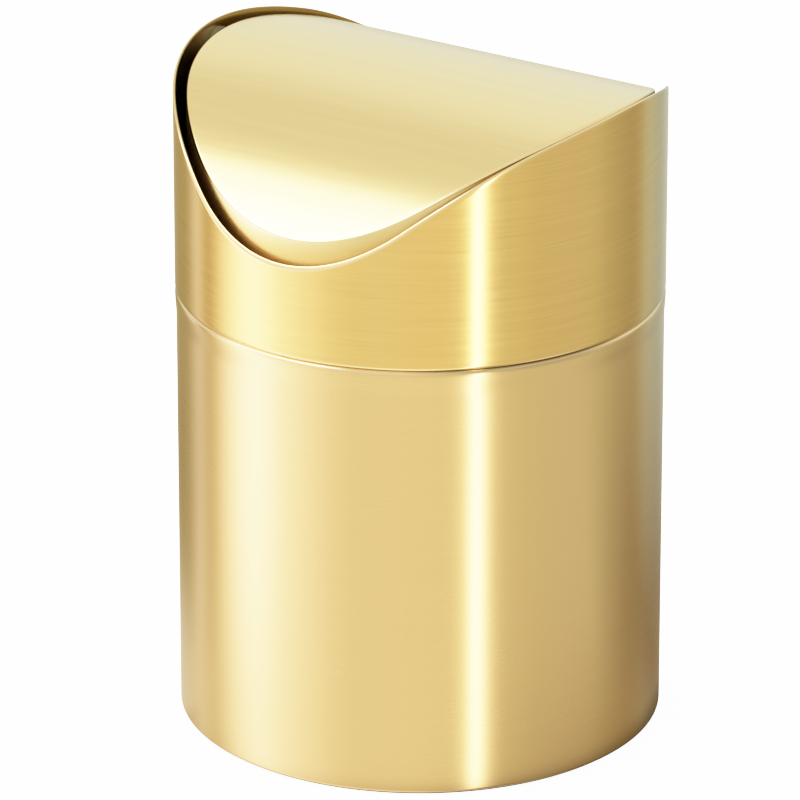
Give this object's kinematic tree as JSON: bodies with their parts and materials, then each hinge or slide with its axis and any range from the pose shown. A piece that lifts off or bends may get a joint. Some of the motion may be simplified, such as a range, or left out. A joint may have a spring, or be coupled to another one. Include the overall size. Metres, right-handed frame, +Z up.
{
  "type": "countertop trash can with swing lid",
  "caption": "Round countertop trash can in brushed brass-coloured steel: lift-off collar with an arched rim and a curved lid that swings both ways.",
  "frame": {"origin": "on the bench, at the bottom centre of the can", "axes": "+Z up along the can's axis; +X along the lid's pivot axis, from the left stud to the right one; the rim's two dips face -Y (front) and +Y"},
  "size_m": [0.1206, 0.1206, 0.1686],
  "materials": {
    "can_metal": "brass-coloured, brushed round the can",
    "base_metal": "brass-coloured, pressed, dull",
    "foot_rubber": "black, matt",
    "ring_plastic": "black, moulded",
    "pin_steel": "plain, turned",
    "bush_plastic": "natural, moulded"
  },
  "bodies": {
    "can": {"can_wall": "can_metal", "can_base": "base_metal", "foot_ring": "foot_rubber"},
    "collar": {"collar_shell": "can_metal", "collar_ring": "ring_plastic", "stud_left": "pin_steel", "stud_right": "pin_steel", "clip_left": "pin_steel", "clip_right": "pin_steel"},
    "lid": {"swing_lid": "can_metal", "bush_left": "bush_plastic", "bush_right": "bush_plastic"}
  },
  "joints": [
    {"name": "collar_lift", "type": "slide", "parent": "can", "child": "collar", "axis": [0, 0, 1], "range_m": [0, 0.04]},
    {"name": "lid_swing", "type": "hinge", "parent": "collar", "child": "lid", "pos_m": [0, 0, 0.162], "axis": [1, 0, 0], "range_deg": [-90, 90]}
  ]
}
